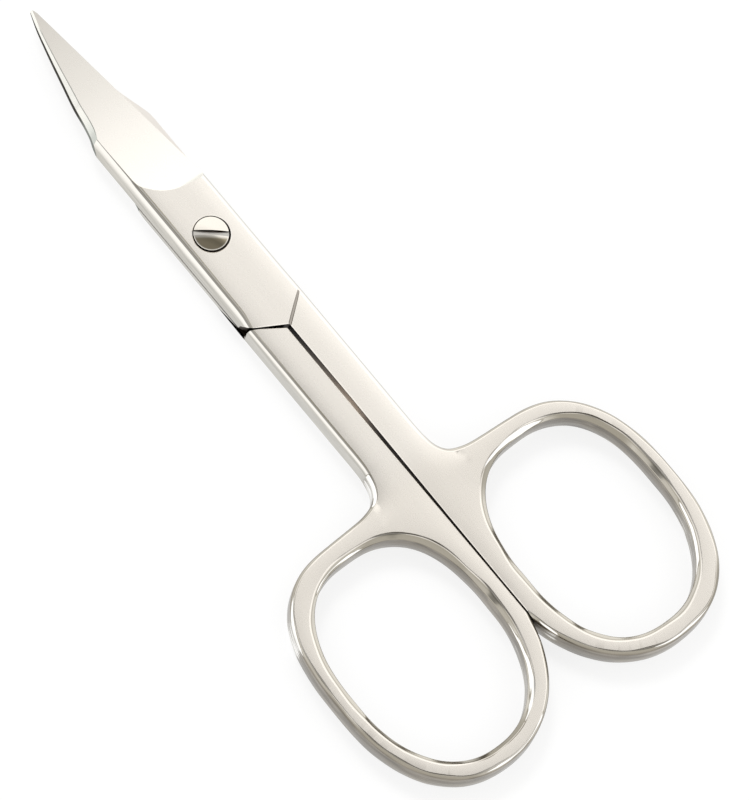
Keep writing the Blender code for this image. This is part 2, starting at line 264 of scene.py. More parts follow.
def effectGroup(name, inputs, outputs):
    # An input with a value to start from is a number, one without is a vector, and outputs are numbers
    group = bpy.data.node_groups.new(name, "ShaderNodeTree")
    for label, value in inputs.items():
        kind = "NodeSocketVector" if value is None else "NodeSocketFloat"
        socket = group.interface.new_socket(label, in_out="INPUT", socket_type=kind)
        if value is not None:
            socket.default_value = value
    for label in outputs:
        group.interface.new_socket(label, in_out="OUTPUT", socket_type="NodeSocketFloat")
    return group, group.nodes.new("NodeGroupInput").outputs


def placed(tree, group, values):
    return addNode(tree, "ShaderNodeGroup", {"node_tree": group}, values).outputs


def makeGrain():
    # Fine satin grain, cloudy mottling and faint polishing lines along the scissors
    group, given = effectGroup("satinGrain", {"Place": None, "Mottle": 0.05, "Lines": 0.03},
                               ("Tone", "Rough", "Height"))
    drawnOut = vectors(group, "MULTIPLY", {0: given["Place"], 1: grainNoise["drawnOut"]})
    lines = clouds(group, drawnOut, *grainNoise["lines"])
    cloud, fine = (clouds(group, given["Place"], *grainNoise[name]) for name in ("cloud", "fine"))
    lineTone, cloudTone, fineTone = (counted(group, "SUBTRACT", value, 0.5)
                                     for value in (lines, cloud, fine))
    tone = weighed(group, (lineTone, given["Lines"]), (cloudTone, given["Mottle"]))
    addNode(group, "NodeGroupOutput", None, {
        "Tone": counted(group, "ADD", tone, 1.0), "Height": weighed(group, (lines, 0.7), (fine, 0.3)),
        "Rough": weighed(group, (cloudTone, 0.12), (fineTone, 0.05))})
    return group


def makeStreaks():
    # Lines that polishing leaves along a wall, and how they come and go along it
    group, given = effectGroup("polishingStreaks", {"Place": None}, ("Streak", "Drift"))
    alongWall, slow = (vectors(group, "MULTIPLY", {0: given["Place"], 1: streakNoise[name]})
                       for name in ("alongWall", "slow"))
    addNode(group, "NodeGroupOutput", None, {
        "Streak": spread(group, clouds(group, alongWall, *streakNoise["streak"]), 0.3, 0.7),
        "Drift": spread(group, clouds(group, slow, *streakNoise["drift"]), 0.32, 0.68)})
    return group


def makeStretches():
    # Which stretch of the scissors a place is on, the whole length of the blade's fade included
    group, given = effectGroup("alongTheScissors", {"Place": None}, (*stretches, "Tip"))
    along = part(group, given["Place"], "Y")
    shares = {name: spread(group, along, *ends) for name, ends in stretches.items()}
    addNode(group, "NodeGroupOutput", None, {**shares, "Tip": ranged(group, along, *changes["tip"])})
    return group


def newSteel(name, tone, kind):
    # Plain metal to start from, with its node tree and the places on the object
    material = bpy.data.materials.new(name)
    material.use_nodes = True
    tree = material.node_tree
    shader = tree.nodes["Principled BSDF"]
    for socket, value in {"Metallic": 1, "Base Color": finish[tone], "Roughness": surface[kind][0]}.items():
        shader.inputs[socket].default_value = value
    return material, tree, addNode(tree, "ShaderNodeTexCoord").outputs["Object"]


def dulled(material, share):
    # Where shade is painted, the steel's slanting reflections are darkened too, so it doesn't brighten at a
    # slant as bare steel does
    tree = material.node_tree
    tint = tree.nodes["Principled BSDF"].inputs["Specular Tint"]
    if isinstance(share, bpy.types.NodeSocket):
        tree.links.new(mixed(tree, share, (1, 1, 1, 1), (0.08, 0.07, 0.06, 1)), tint)
    else:
        tint.default_value = (share, share, share, 1)
    return material


def grained(material, colour, roughness, mottle, lines, bump):
    # Puts colour and roughness, socket or plain, through the satin grain into the shader
    tree = material.node_tree
    place = tree.nodes["Texture Coordinate"].outputs["Object"]
    grain = placed(tree, grainGroup, {"Place": place, "Mottle": mottle, "Lines": lines})
    plain = colour if isinstance(colour, bpy.types.NodeSocket) else colour[:3]
    rough = addNode(tree, "ShaderNodeMath", {"operation": "ADD", "use_clamp": True},
                    {0: roughness, 1: grain["Rough"]})
    raised = addNode(tree, "ShaderNodeBump", None,
                     {"Strength": bump, "Distance": 0.00001, "Height": grain["Height"]})
    results = {"Base Color": vectors(tree, "SCALE", {0: plain, "Scale": grain["Tone"]}),
               "Roughness": rough.outputs[0], "Normal": raised.outputs[0]}
    for socket, result in results.items():
        tree.links.new(result, tree.nodes["Principled BSDF"].inputs[socket])


def ringWalls(tree, place, streaks):
    # Grey walls of painted reflection of the shaded paper, darkest a third of the way down, streaked along
    # their length
    thickness = steel["thickness"]
    wander = counted(tree, "MULTIPLY", counted(tree, "SUBTRACT", streaks["Drift"], 0.5), ringWall["wander"])
    height = ranged(tree, counted(tree, "ADD", part(tree, place, "Z"), wander), 0, thickness / 1000)
    stops = [(high / thickness, (tone, tone * (1 - warm * ringWall["greener"]), tone * (1 - warm), 1))
             for high, tone, warm in wallTones]
    walls = blended(tree, height, stops)
    scale = counted(tree, "MULTIPLY", ranged(tree, streaks["Streak"], 0, 1, *ringWall["streaks"]),
                    ranged(tree, streaks["Drift"], 0, 1, *ringWall["drift"]))
    return vectors(tree, "SCALE", {0: walls, "Scale": scale})


def paintedShadowWedge(tree, place):
    # Painted black shadow below the lap's end, a wedge that thins out along the side of the steel
    along = part(tree, place, "Y")
    depth = counted(tree, "SUBTRACT", ranged(tree, along, *shadowWedge["back"]), part(tree, place, "Z"))
    return counted(tree, "MULTIPLY", spread(tree, depth, -shadowWedge["edge"], shadowWedge["edge"]),
                   within(tree, along, *shadowWedge["ends"]), spread(tree, part(tree, place, "X"), *shadowWedge["side"]))


def satinSteel(name):
    # Satin on the flats, the lap's rims polished brighter, and greyer facets and walls on the rings as
    # painted reflection and shade
    material, tree, place = newSteel(name, "face", "satin")
    stretch, streaks = (placed(tree, group, {"Place": place}) for group in (stretchGroup, streakGroup))
    across, rimShade, polishAndHighlight = (attribute(tree, mark) for mark in ("across", "rimShade", "polishAndHighlight"))
    normal = addNode(tree, "ShaderNodeNewGeometry").outputs["Normal"]
    onWall = spread(tree, absolute(tree, part(tree, normal, "Z")), *satin["wall"])
    # Faces and rims; across the rings' rims a grey band and a dark line are painted reflection, with painted
    # shade where the rim shade is marked
    rim = spread(tree, across, *satin["rim"])
    rimShading = counted(tree, "MULTIPLY", rimShade, spread(tree, across, *satin["rimShading"]))
    ringRim = mixed(tree, rimShading, blended(tree, across, ramps["ringRim"]), finish["shadedRim"])
    anyRim = mixed(tree, stretch["Ring"], blended(tree, across, ramps["lapRim"]), ringRim)
    colour = mixed(tree, rim, mixed(tree, stretch["Ring"], finish["face"], finish["ringFace"]), anyRim)
    # Thin painted dark reflections along the left rims, two lines on the lap and one on the shank
    lapFirst, lapSecond, shank, line = (within(tree, across, *rimLines[name])
                                        for name in ("lapFirst", "lapSecond", "shank", "rimShade"))
    drawn = mixedShare(tree, spread(tree, stretch["Lap"], *satin["onLap"]), shank,
                       counted(tree, "MAXIMUM", lapFirst, lapSecond))
    left = spread(tree, part(tree, place, "X"), *satin["left"])
    colour = mixed(tree, counted(tree, "MULTIPLY", drawn, left, stretch["Side"]), colour, finish["lapLine"])
    # Walls, grey and darker low down as painted reflection of the shaded paper, with the painted black
    # shadow below the lap's end
    low = spread(tree, part(tree, place, "Z"), *satin["lowWall"])
    lapWall = mixed(tree, low, finish["lapWall"], finish["lapWallLow"])
    streaked = ranged(tree, streaks["Streak"], second=satin["streaks"])
    lapWall = mixed(tree, streaked, lapWall, finish["lapWallLow"])
    paintedShade = paintedShadowWedge(tree, place)
    dulled(material, paintedShade)
    wall = mixed(tree, stretch["Side"], ringWalls(tree, place, streaks), lapWall)
    colour = mixed(tree, onWall, colour, mixed(tree, paintedShade, wall, finish["deepShade"]))
    # Painted highlights on the polished flats, ragged at their ends, strongest on the facet, with a painted
    # dark edge of shade round them
    ragged = counted(tree, "MULTIPLY", counted(tree, "SUBTRACT", streaks["Streak"], 0.5), satin["ragged"])
    ragged = counted(tree, "ADD", polishAndHighlight, ragged)
    shade = counted(tree, "MULTIPLY", within(tree, ragged, *satin["shade"]),
                    spread(tree, polishAndHighlight, *satin["shadeFlat"]), spread(tree, across, *satin["shadeRim"]))
    colour = mixed(tree, shade, colour, finish["shadedRim"])
    bright = counted(tree, "MULTIPLY", spread(tree, ragged, *satin["bright"]),
                     spread(tree, across, *satin["brightRim"]))
    colour = mixed(tree, bright, colour, finish["flats"])
    # A thin line of painted shade just under the face's edge
    drift = spread(tree, streaks["Drift"], *satin["drift"])
    colour = mixed(tree, counted(tree, "MULTIPLY", line, rimShade, drift), colour, finish["rimShade"])
    rough = mixedShare(tree, rim, surface["satin"][0],
                       mixedShare(tree, stretch["Ring"], polished["lapRim"], polished["ringRim"]))
    rough = mixedShare(tree, onWall, rough,
                       mixedShare(tree, stretch["Side"], polished["ringWall"], polished["lapWall"]))
    grained(material, colour, mixedShare(tree, bright, rough, polished["flats"]), *surface["satin"][1:])
    return material


def groundSteel(name):
    # The hollow-ground face, painted light: bright at the heel and darker towards the tip
    material, tree, place = newSteel(name, "face", "ground")
    fade = blended(tree, placed(tree, stretchGroup, {"Place": place})["Tip"], ramps["ground"])
    grained(material, fade, *surface["ground"])
    return material


def cornerSteel(name, kind):
    # The blades' thin sides and chamfers, greyer where the spine's corner begins; along the blade the thin
    # side is painted near-black as shade
    material, tree, place = newSteel(name, kind, kind)
    corner = spread(tree, part(tree, place, "Y"), *changes[kind])
    grained(material, mixed(tree, corner, finish[kind], finish[kind + "Corner"]), *surface[kind])
    return material


def recessSteel(name):
    # Cut walls between the halves, painted as shade: darker far along the slit, near-black from the shoulder
    # on and in the bore, black at the shoulder's foot
    material, tree, place = newSteel(name, "recess", "recess")
    along = part(tree, place, "Y")
    slit = mixed(tree, spread(tree, along, *changes["slitDark"]), finish["slitWall"], finish["slitDark"])
    paintedShade = mixed(tree, spread(tree, along, *changes["paintedShade"]), slit, finish["recess"])
    grained(material, mixed(tree, attribute(tree, "deepShade"), paintedShade, finish["deepShade"]), *surface["recess"])
    return dulled(material, 0.8)


def innerSteel(name):
    # The flat inner faces, ground plain, with painted shade drawn up along the shoulder; their tone is
    # painted lighter against the shade that the other blade casts on them
    material, tree, place = newSteel(name, "inner", "inner")
    paintedShade = placed(tree, stretchGroup, {"Place": place})["Shoulder"]
    grained(material, mixed(tree, paintedShade, finish["inner"], finish["recess"]), *surface["inner"])
    return material


def plainSteel(name, kind):
    material = newSteel(name, kind, kind)[0]
    grained(material, finish[kind], *surface[kind])
    return material


def screwSteel(name):
    # The domed head, with painted shade on one side of the slot
    material, tree, place = newSteel(name, "screw", "screw")
    turn = math.radians(screwForm["slotTurn"])
    centred = vectors(tree, "SUBTRACT", {0: place, 1: (0, hinge.y / 1000, 0.0033)})
    offset = vectors(tree, "DOT_PRODUCT", {0: centred, 1: (-math.sin(turn), math.cos(turn), 0)})
    low = counted(tree, "MULTIPLY", spread(tree, offset, -0.0003, -0.0007),
                  spread(tree, vectors(tree, "LENGTH", {0: centred}), 0.0018, 0.00165))
    grained(material, mixed(tree, low, finish["screw"], finish["screwLow"]), *surface["screw"])
    return material


grainGroup = makeGrain()
streakGroup = makeStreaks()
stretchGroup = makeStretches()
# In the order of each piece's slots
halfFinishes = {"satin": satinSteel("satinSteel"), "recess": recessSteel("recessSteel"),
                "ground": groundSteel("groundSteel"),
                "flank": dulled(cornerSteel("flankSteel", "flank"), 0.35),
                "inner": innerSteel("innerSteel"), "chamfer": cornerSteel("chamferSteel", "chamfer"),
                "groove": plainSteel("grooveSteel", "groove")}
slotOf = {name: number for number, name in enumerate(halfFinishes)}
# The slot's walls are painted near-black as shade in the slot
screwFinishes = {"head": screwSteel("screwSteel"),
                 "slotWall": dulled(plainSteel("slotSteel", "slotWall"), 0.2),
                 "slotFloor": plainSteel("slotFloorSteel", "slotFloor")}
print("finishes mixed")


# Outlines, with the steel on the left hand as they run

def evenly(points, spacing):
    # The same line with points at an even spacing, both ends kept
    lengths = [0.0]
    for a, b in zip(points, points[1:]):
        lengths.append(lengths[-1] + (Vector(b) - Vector(a)).length)
    count = max(1, round(lengths[-1] / spacing))
    result = []
    segment = 0
    for i in range(count + 1):
        reach = lengths[-1] * i / count
        while segment < len(points) - 2 and lengths[segment + 1] < reach:
            segment += 1
        run = lengths[segment + 1] - lengths[segment]
        share = (reach - lengths[segment]) / run if run else 0
        result.append(tuple(Vector(points[segment]).lerp(Vector(points[segment + 1]), share)))
    return result


def flowing(points, steps=8):
    # A soft curve through a few drawn points
    ends = [points[0]] + list(points) + [points[-1]]
    result = []
    for a, b, c, d in zip(ends, ends[1:], ends[2:], ends[3:]):
        for i in range(steps):
            t = i / steps
            weights = (-t + 2 * t**2 - t**3, 2 - 5 * t**2 + 3 * t**3, t + 4 * t**2 - 3 * t**3, t**3 - t**2)
            result.append(tuple(sum(w * p[k] for w, p in zip(weights, (a, b, c, d))) / 2
                                for k in range(2)))
    return result + [tuple(points[-1])]


def ovalQuarter(form, wide, long, start, shape):
    # A quarter of the ring's squared oval, from start degrees on, anticlockwise
    points = []
    for i in range(61):
        angle = math.radians(start + 90 * i / 60)
        across = math.cos(angle)
        along = math.sin(angle)
        points.append((form["ringSide"] + wide * math.copysign(abs(across) ** (2 / shape), across),
                       -form["ringReach"] + long * math.copysign(abs(along) ** (2 / shape), along)))
    return points


def arcPoints(centre, radius, start, end, steps):
    return [(centre[0] + radius * math.cos(math.radians(start + (end - start) * i / steps)),
             centre[1] + radius * math.sin(math.radians(start + (end - start) * i / steps)))
            for i in range(steps + 1)]


def ringOuter(form):
    # Round the outside of the ring, from the parting side under it to the crotch
    shape = form["ringShape"]
    points = ovalQuarter(form, form["ringIn"], form["ringBottom"], 180, shape[2])
    points += ovalQuarter(form, form["ringOut"], form["ringBottom"], 270, shape[1])[1:]
    top = ovalQuarter(form, form["ringOut"], form["ringTop"], 0, shape[0])
    points += [p for p in top[1:] if p[0] > form["ringSide"] + 0.6]
    points += list(reversed(flowing(form["crotch"])))
    return points


def blankRim(form):
    # Everything that the half is cut from, with the blade's end and the back left long
    side = form["lapHalf"]
    left = blank["left"]
    front = arcPoints((0, blank["front"]), side, 0, 180, 24)
    back = arcPoints((left, blank["back"]), side + left, 180, 270, 12)
    ring = [p for p in ringOuter(form) if p[0] > 0.1]
    turn = (left, ring[0][1] + 5)
    bends = [(form["shankHalf"], y) for y in blank["shank"]] + [(side, blank["lap"]), (side, blank["front"])]
    return (evenly([front[-1], back[0]], 0.5) + evenly(back, 0.4)[1:] + evenly([back[-1], turn], 0.5)[1:]
            + evenly([turn] + ring, 0.3)[1:] + evenly(bends, 0.5)[1:] + evenly(front, 0.5)[1:-1])


def rimSize(x, y, hole):
    # Width and depth of the rounding at a place on the rim
    if hole:
        return rims["hole"]
    if x > 0 and y > -11:
        return blend(rims["shank"], rims["lapInner"], smoothStep(y, -11, -6))
    for (low, first), (high, second) in zip(rimPlaces, rimPlaces[1:]):
        if low <= y <= high:
            return blend(rims[first], rims[second], smoothStep(y, low, high))
    return rims["ring"]


def blend(first, second, share):
    return tuple(a + (b - a) * share for a, b in zip(first, second))


def dressed(x, y, size):
    # The rings were dressed by hand, so their rims wander a little
    width, depth, flat = size
    loose = dressing["most"] * smoothStep(-y, *dressing["from"])
    wander, dip = (1 + loose * noise.noise(Vector((x * scale, y * scale, seed))) * 2
                   for scale, seed in (dressing["width"], dressing["depth"]))
    return width * wander, depth * dip, flat


def holeRim(form):
    # Round the finger hole from the outer side on; its shapes run the other way round
    sides = (("holeOut", "holeTop", 0), ("holeIn", "holeTop", 3), ("holeIn", "holeBottom", 2),
             ("holeOut", "holeBottom", 1))
    points = []
    for turn, (wide, long, corner) in enumerate(sides):
        quarter = ovalQuarter(form, form[wide], form[long], 90 * turn, form["holeShape"][corner])
        points += quarter[1:] if points else quarter
    return list(reversed(evenly(points, 0.3)[:-1]))


def inwardNormals(rim):
    # Square to the rim, into the steel, longer at corners so that offsets stay parallel
    normals = []
    for i, point in enumerate(rim):
        before = (Vector(point) - Vector(rim[i - 1])).normalized()
        after = (Vector(rim[(i + 1) % len(rim)]) - Vector(point)).normalized()
        middle = (before + after).normalized()
        normals.append(Vector((-middle.y, middle.x)) / max(0.4, middle.dot(after)))
    return normals


def inside(point, rim):
    hit = False
    x, y = point
    for (ax, ay), (bx, by) in zip(rim, rim[1:] + rim[:1]):
        if (ay > y) != (by > y) and x < (bx - ax) * (y - ay) / (by - ay) + ax:
            hit = not hit
    return hit


class RimDistance:
    # How far a place is from a line of points
    def __init__(self, points, closed):
        self.points = [Vector((x, y, 0)) for x, y in points]
        self.closed = closed
        self.tree = KDTree(len(points))
        for i, point in enumerate(self.points):
            self.tree.insert(point, i)
        self.tree.balance()

    def nearest(self, x, y):
        return self.tree.find(Vector((x, y, 0)))[1]

    def to(self, x, y):
        place = Vector((x, y, 0))
        index = self.nearest(x, y)
        best = (self.points[index] - place).length
        for a, b in ((index - 1, index), (index, index + 1)):
            if self.closed:
                a %= len(self.points)
                b %= len(self.points)
            if 0 <= a and b < len(self.points):
                near, share = intersect_point_line(place, self.points[a], self.points[b])
                if 0 <= share <= 1:
                    best = min(best, (near - place).length)
        return best


def smoothStep(value, low, high):
    share = min(1, max(0, (value - low) / (high - low)))
    return share * share * (3 - 2 * share)


def faceHeight(form, outerEdge, holeEdge):
    # The faces are slightly crowned: over lap and shank together, and along the ring's band
    def height(x, y):
        lap = steel["lapCrown"] * form["lapHalf"] * abs(x / form["lapHalf"]) ** 4 / 4
        turn = max(smoothStep(-y, 28.5, 34.5), smoothStep(x, 3.4, 5.6) * smoothStep(-y, 27, 31))
        if turn == 0:
            return steel["thickness"] - lap
        out = outerEdge.to(x, y)
        hole = holeEdge.to(x, y)
        half = (out + hole) / 2
        side = (hole - out) / (2 * half)
        ring = steel["ringCrown"] * min(half, 1.2) * side * side / 2
        return steel["thickness"] - lap * (1 - turn) - ring * turn

    return height


# Mesh tools

def startMesh(name, verts, faces):
    mesh = bpy.data.meshes.new(name)
    mesh.from_pydata([tuple(v) for v in verts], [], faces)
    mesh.update()
    piece = bpy.data.objects.new(name, mesh)
    bpy.context.scene.collection.objects.link(piece)
    return piece


def pick(piece):
    if bpy.context.object and bpy.context.object.mode != "OBJECT":
        bpy.ops.object.mode_set(mode="OBJECT")
    bpy.ops.object.select_all(action="DESELECT")
    piece.select_set(True)
    bpy.context.view_layer.objects.active = piece


def finished(piece, kind, **settings):
    # Adds a modifier with its settings and applies it
    pick(piece)
    modifier = piece.modifiers.new(kind.lower(), kind)
    for name, value in settings.items():
        setattr(modifier, name, value)
    bpy.ops.object.modifier_apply(modifier=modifier.name)


def faceOutwards(piece):
    pick(piece)
    bpy.ops.object.mode_set(mode="EDIT")
    bpy.ops.mesh.select_all(action="SELECT")
    bpy.ops.mesh.remove_doubles(threshold=0.0004)
    bpy.ops.mesh.normals_make_consistent(inside=False)
    bpy.ops.object.mode_set(mode="OBJECT")


def grown(outline, amount):
    # The outline moved outwards by an amount, its corners kept; the outline runs anticlockwise
    return [tuple(Vector(p) - n * amount) for p, n in zip(outline, inwardNormals(outline))]


def paintedCutter(name, verts, faces, finishes):
    # A cutter leaves its finish on the faces that it cuts: one name for all, or one for each face
    cutter = startMesh(name, verts, faces)
    for material in halfFinishes.values():
        cutter.data.materials.append(material)
    for face in cutter.data.polygons:
        face.material_index = slotOf[finishes if isinstance(finishes, str) else finishes[face.index]]
    faceOutwards(cutter)
    return cutter


def bandFaces(start, count, rows):
    # Quads between closed rows of points that follow one another
    return [(start + row * count + i, start + row * count + (i + 1) % count,
             start + (row + 1) * count + (i + 1) % count, start + (row + 1) * count + i)
            for row in range(rows - 1) for i in range(count)]


def endFaces(count, rows):
    return [tuple(reversed(range(count))), tuple(range((rows - 1) * count, rows * count))]


def drawnBlock(name, outline, levels, side, lid):
    # A block over an outline; each level is a height and how far the outline has grown there. The
    # slanted bands are satin, upright ones take the finish for the side
    area = sum(a[0] * b[1] - b[0] * a[1] for a, b in zip(outline, outline[1:] + outline[:1]))
    if area < 0:
        outline = list(reversed(outline))
    count = len(outline)
    verts = [(x, y, height) for height, growth in levels for x, y in grown(outline, growth)]
    finishes = []
    for (_, first), (_, second) in zip(levels, levels[1:]):
        finishes += [side if first == second else "satin"] * count
    faces = bandFaces(0, count, len(levels)) + endFaces(count, len(levels))
    return paintedCutter(name, verts, faces, finishes + [lid, lid])


def cutAway(piece, cutters):
    # All the cutters at once, from one collection, then the cutters are thrown away
    group = bpy.data.collections.new("cutters")
    bpy.context.scene.collection.children.link(group)
    for cutter in cutters:
        bpy.context.scene.collection.objects.unlink(cutter)
        group.objects.link(cutter)
    finished(piece, "BOOLEAN", operand_type="COLLECTION", collection=group, solver="EXACT",
             material_mode="INDEX")
    for cutter in cutters:
        bpy.data.objects.remove(cutter, do_unlink=True)
    bpy.data.collections.remove(group)


def rimShares(steps):
    # Across and down the rounded rim, from the wall to the face
    turns = [math.radians(90 * i / steps) for i in range(steps + 1)]
    return [(1 - math.cos(turn), 1 - math.sin(turn)) for turn in turns]


def crownOf(form):
    hole = holeRim(form)
    # Along the slit, from the shoulder to the rings' parting side, then round the ring
    (start, _), (end, _) = form["slit"][0], form["slit"][-1]
    edge = evenly([(start, shoulderY(0.2))] + form["slit"][:-1] + [(end, blank["parting"])], 0.4)
    edge += [p for p in ringOuter(form) if p[0] > 0.1] + [(form["shankHalf"], blank["shank"][1])]
    return faceHeight(form, RimDistance(edge, False), RimDistance(hole, True))


def makeBlank(name, form, height):
    # The forging before anything is cut: crowned faces, rounded rims, the finger hole through it
    rim = blankRim(form)
    hole = holeRim(form)
    steps = list(zip(rimShares(9), facet))
    verts = []
    faces = []
    rows = []
    for line in (rim, hole):
        normals = inwardNormals(line)
        sizes = [dressed(x, y, rimSize(x, y, line is hole)) for x, y in line]
        bands = []
        for (roundAcross, roundDown), (flatAcross, flatDown) in reversed(steps):
            band = []
            for (x, y), normal, (width, depth, flat) in zip(line, normals, sizes):
                across, down = blend((roundAcross, roundDown), (flatAcross, flatDown), flat)
                px, py = Vector((x, y)) + normal * width * across
                band.append((px, py, height(px, py) - down * depth))
            bands.append(band)
        proud = [(*(Vector((x, y)) - normal * 0.02), steel["thickness"] / 2)
                 for (x, y), normal in zip(line, normals)]
        under = [[(x, y, steel["thickness"] - z) for x, y, z in band] for band in reversed(bands)]
        allBands = bands + [proud] + under
        start = len(verts)
        count = len(line)
        rows.append((start, count, len(allBands)))
        for band in allBands:
            verts += band
        faces += bandFaces(start, count, len(allBands))
    # The flat of both faces, filled between the innermost bands
    loops = [[verts[start + i] for i in range(count)] for start, count, _ in rows]
    flats = [[(x, y) for x, y, _ in loop] for loop in loops]
    near = RimDistance([p for flat in flats for p in flat], False)
    knots = []
    for row in range(*net["rows"]):
        for column in range(*net["columns"]):
            x = (column + 0.5 * (row % 2)) * net["spacing"]
            y = row * net["spacing"] * net["flattened"]
            if near.to(x, y) > net["room"] and inside((x, y), flats[0]) and not inside((x, y), flats[1]):
                knots.append((x, y))
    rimCount = len(flats[0])
    holeCount = len(flats[1])
    corners = [Vector(p) for p in flats[0] + flats[1] + knots]
    edges = [(i, (i + 1) % rimCount) for i in range(rimCount)]
    edges += [(rimCount + i, rimCount + (i + 1) % holeCount) for i in range(holeCount)]
    places, _, fills, origins, _, _ = delaunay_2d_cdt(corners, edges, [], 0, 1e-5)
    top = []
    bottom = []
    for place, origin in zip(places, origins):
        index = origin[0] if origin else -1
        if 0 <= index < rimCount + holeCount:
            onHole = index >= rimCount
            start, count, depth = rows[onHole]
            top.append(start + index - rimCount * onHole)
            bottom.append(top[-1] + (depth - 1) * count)
        else:
            z = height(place.x, place.y)
            top.append(len(verts))
            verts.append((place.x, place.y, z))
            bottom.append(len(verts))
            verts.append((place.x, place.y, steel["thickness"] - z))
    for fill in fills:
        middle = sum((places[i] for i in fill), Vector((0, 0))) / len(fill)
        offRim = any(not origins[i] or origins[i][0] >= rimCount + holeCount for i in fill)
        if offRim or (inside(middle, flats[0]) and not inside(middle, flats[1])):
            faces.append(tuple(top[i] for i in fill))
            faces.append(tuple(bottom[i] for i in reversed(fill)))
    forging = startMesh(name, verts, faces)
    faceOutwards(forging)
    return forging


# Cutters, each in the half's own frame

def shoulderY(x):
    return -shoulder["foot"] + shoulder["slope"] * abs(x)


def lipLevels(low, high):
    # The cut's edges are eased: steep first, then nearly level with the face
    lip = shoulder["lip"]
    beyond = shoulder["beyond"]
    flared = shoulder["ease"] + (lip / 2 + beyond) * shoulder["flare"]
    steps = [(lip, 0), (lip / 2, shoulder["ease"]), (-beyond, flared)]
    levels = [(low + depth, growth) for depth, growth in reversed(steps)]
    return levels + [(high - depth, growth) for depth, growth in steps if high is not None]


def lapEndCutter(form):
    # Behind the lap and past the slit; the lap's outer corner is rounded off
    gap = shoulder["gap"] / 2
    start = form["slit"][0][0]
    corner = [(-6, -7.6), (-3.82, -8.6), (-3.7, -9.15), (-3.58, -9.6), (-3.38, -10.0), (-3.1, -10.33),
              (-2.7, shoulderY(2.7) + gap)]
    outline = corner + [(start, shoulderY(start) + gap)] + form["slit"] + [(-6, -66)]
    return drawnBlock("lapEnd", outline, lipLevels(0, steel["thickness"]), "recess", "recess")


def pocketCutter():
    # Room for the other half's lap, under this one's
    gap = shoulder["gap"] / 2
    slope = shoulder["slope"]
    foot = -shoulder["foot"] - gap
    outline = [(5, 36), (-5, 36), (-5, foot - 5 * slope), (0, foot)]
    eased = ((2.5, 0), (3.0, 0.06), (3.4, 0.15), (3.7, 0.28))
    outline += [(x, foot + x * slope - ease) for x, ease in eased] + [(5, foot + 3.9 * slope - 0.5)]
    levels = lipLevels(0, None) + [(steel["lapFloor"], 0)]
    return drawnBlock("pocket", outline, levels, "recess", "inner")


def trimCutter(form):
    spine = flowing(form["spine"], 6)
    outline = [(-6, form["spine"][0][1])] + spine + form["tip"] + [form["edgeEnd"], form["heel"]]
    outline += [(6, form["heel"][1]), (6, 37), (-6, 37)]
    return drawnBlock("trim", outline, [(-1, 0), (steel["thickness"] + 1, 0)], "flank", "flank")


# The ground face: height of its cutting edge, its slope across at places along the blade, and the
# curl where the wheel ran out at the heel
grind = {"edgeHeight": 1.8,
         "slopes": [(0, 0.2), (7, 0.205), (9, 0.21), (14, 0.222), (17, 0.24), (20, 0.28), (23, 0.335),
                    (25, 0.385), (27, 0.46), (29, 0.58), (40, 0.7)],
         "curl": [(9.3, 0.0), (8.7, 0.03), (8.09, 0.1), (7.15, 0.27), (6.6, 0.39), (6.17, 0.52),
                  (5.85, 0.67), (5.6, 0.86), (5.4, 1.08), (5.25, 1.32), (5.15, 1.6), (5.05, 2.1),
                  (5.0, 2.6)],
         "from": 2.5, "step": 1.15}


def along(table, place):
    # A value read off a table of places, straight between them
    for (low, first), (high, second) in zip(table, table[1:]):
        if low <= place <= high:
            return first + (second - first) * (place - low) / (high - low)
    return table[-1][1] if place > table[-1][0] else table[0][1]


def edgeX(form, y):
    # The straight line of the cutting edge
    (hx, hy), (ex, ey) = form["heel"], form["edgeEnd"]
    return hx + (ex - hx) * (y - hy) / (ey - hy)


def groundHeight(form, x, y):
    # Height of the ground face over a place on the blade
    return grind["edgeHeight"] + along(grind["slopes"], y) * (edgeX(form, y) - x)


def gridCutter(name, rows, finishes):
    # Rows of places, each row one step further on, closed by a lid well above the steel
    verts = []
    wide = len(rows[0])
    for row in rows:
        verts += row
    lid = len(verts)
    for row in rows:
        verts += [(row[0][0], row[0][1], 9), (row[-1][0], row[-1][1], 9)]
    faces = []
    for i in range(len(rows) - 1):
        a = i * wide
        for j in range(wide - 1):
            faces.append((a + j, a + j + 1, a + wide + j + 1, a + wide + j))
        b = lid + 2 * i
        faces += [(b, b + 2, b + 3, b + 1), (a, a + wide, b + 2, b),
                  (a + wide - 1, b + 1, b + 3, a + 2 * wide - 1)]
    last = (len(rows) - 1) * wide
    faces.append(tuple(range(wide)) + (lid + 1, lid))
    faces.append(tuple(reversed(range(last, last + wide))) + (len(verts) - 2, len(verts) - 1))
    return paintedCutter(name, verts, faces, finishes)


def grindCutter(form):
    # Hollow along the heel, then one long face that steepens towards the tip
    curl = list(reversed(flowing(grind["curl"], 3)))
    stations = curl + [(9.3 + 0.7 * i, 0) for i in range(1, 34)]
    rows = []
    for y, lift in stations:
        across = [edgeX(form, y) + grind["from"] - grind["step"] * i for i in range(11)]
        rows.append([(x, y, groundHeight(form, x, y) + lift) for x in across])
    return gridCutter("grind", rows, "ground")


# The chamfer along the spine: how far it reaches in from the side, and how steep it is
chamfer = {"reach": [(0, -0.4), (13.2, -0.1), (14, 0.2), (15, 0.45), (16, 0.58), (17, 0.6), (20, 0.56),
                     (23, 0.43), (25, 0.36), (28, 0.26), (40, 0.22)],
           "ease": 0.09, "easeSlope": 0.22,
           "slope": [(0, 1.7), (14.5, 1.6), (15.5, 1.3), (17, 0.85), (19, 0.62), (40, 0.62)]}


